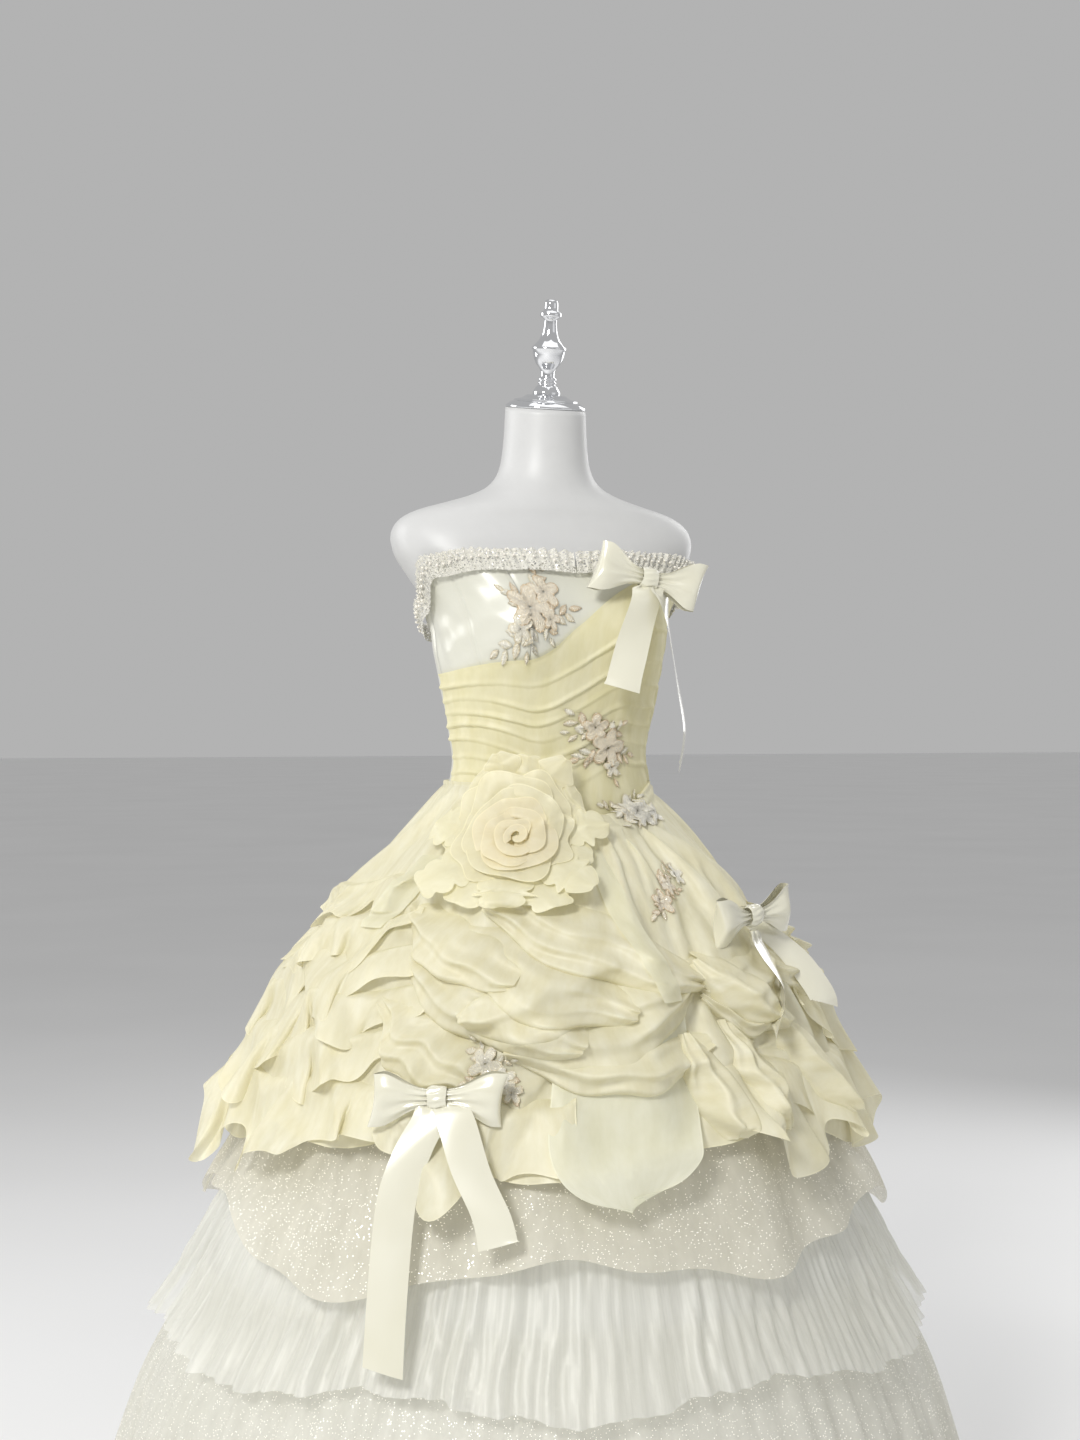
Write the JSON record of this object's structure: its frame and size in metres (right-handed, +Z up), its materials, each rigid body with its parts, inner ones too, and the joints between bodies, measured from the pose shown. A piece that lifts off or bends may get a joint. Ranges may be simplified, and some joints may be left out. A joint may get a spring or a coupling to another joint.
{
  "type": "ball gown on a dress form",
  "caption": "Strapless ball gown with a pleated bodice, puffed organza overskirt, gathered tulle tiers, satin bows and a rosette, standing on a limbless dress form.",
  "frame": {"origin": "on the floor, at the centre of the round base's underside", "axes": "+Z up; the gown's front faces -Y; the wearer's left is +X"},
  "size_m": [1.1882, 1.1409, 1.6476],
  "materials": {
    "form_skin": "smooth matt white",
    "chrome": "polished chrome",
    "stand_paint": "white paint",
    "satin": "ivory satin, stiffened bodice and underskirt",
    "pleated_organza": "pleated pale yellow organza",
    "organza": "sheer cream organza with rolled hems",
    "tulle": "gathered white tulle",
    "glitter_tulle": "tulle with small glitter dots",
    "satin_ribbon": "glossy ivory satin ribbon",
    "lace": "embroidered lace in cream, silver and bronze-pink thread"
  },
  "bodies": {
    "root": {"form_torso": "form_skin", "form_base": "stand_paint", "form_pole": "stand_paint", "neck_cap": "chrome", "finial": "chrome", "bodice_centre_front": "satin", "bodice_side_front_left": "satin", "bodice_back_left": "satin", "bodice_placket": "satin", "bodice_back_right": "satin", "bodice_side_front_right": "satin", "bodice_drape": "pleated_organza", "neckline_frill_right": "lace", "neckline_frill_left": "lace", "underskirt_front": "satin", "underskirt_left": "satin", "underskirt_back": "satin", "underskirt_right": "satin", "bottom_tier_front": "glitter_tulle", "bottom_tier_back": "glitter_tulle", "tulle_tier_front": "tulle", "tulle_tier_back": "tulle", "glitter_tier_front": "glitter_tulle", "glitter_tier_back": "glitter_tulle", "overskirt_front": "organza", "overskirt_left": "organza", "overskirt_back": "organza", "overskirt_right": "organza", "flounce_right_upper": "organza", "flounce_right_middle": "organza", "flounce_right_lower": "organza", "flounce_front": "organza", "flounce_left_lower": "organza", "flounce_back": "organza", "bow_bust_loop_right": "satin_ribbon", "bow_bust_loop_left": "satin_ribbon", "bow_bust_knot": "satin_ribbon", "bow_hip_loop_right": "satin_ribbon", "bow_hip_loop_left": "satin_ribbon", "bow_hip_knot": "satin_ribbon", "bow_skirt_loop_right": "satin_ribbon", "bow_skirt_loop_left": "satin_ribbon", "bow_skirt_knot": "satin_ribbon", "bow_bust_tail_short": "satin_ribbon", "bow_bust_tail_long": "satin_ribbon", "bow_hip_tail_long": "satin_ribbon", "bow_hip_tail_short": "satin_ribbon", "bow_skirt_tail_long": "satin_ribbon", "bow_skirt_tail_short": "satin_ribbon", "rosette_leaves": "organza", "rosette_outer_petals": "organza", "rosette_inner_petals": "organza", "rosette_bud": "organza", "streamer_front": "organza", "streamer_right": "organza", "spray_bust": "lace", "spray_waist": "lace", "spray_hip": "lace", "spray_side": "lace", "spray_skirt": "lace"}
  },
  "joints": []
}
